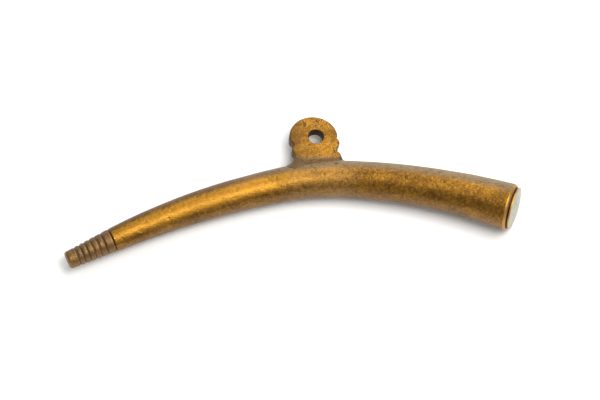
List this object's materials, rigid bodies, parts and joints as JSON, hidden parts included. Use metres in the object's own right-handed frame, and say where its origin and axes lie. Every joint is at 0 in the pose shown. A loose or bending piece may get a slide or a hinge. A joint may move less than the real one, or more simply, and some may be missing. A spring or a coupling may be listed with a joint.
{
  "type": "shutter dog",
  "caption": "Horn-shaped brass shutter dog with a lobed pivot lug, a ribbed finger and a capped heavy end, which swings on a pin to hold a shutter open.",
  "frame": {"origin": "middle of the pivot bore, at half the thickness of the lug", "axes": "+Z along the pivot bore, away from the wall; +Y from the horn to the bore; +X towards the thick, weighted end"},
  "size_m": [0.1628, 0.0518, 0.0308],
  "materials": {
    "horn_brass": "aged, mottled brown patina, rubbed bright along the front",
    "finger_brass": "aged, dark in the grooves, rubbed on the beads",
    "lug_brass": "aged, golden, with dark specks",
    "cap_brass": "dull grey-green oxide, bright rim",
    "lead": "dull poured lead"
  },
  "bodies": {
    "root": {"horn_shell": "horn_brass", "grip_tip": "finger_brass", "pivot_lug": "lug_brass", "butt_cap": "cap_brass", "counterweight": "lead"}
  },
  "joints": []
}
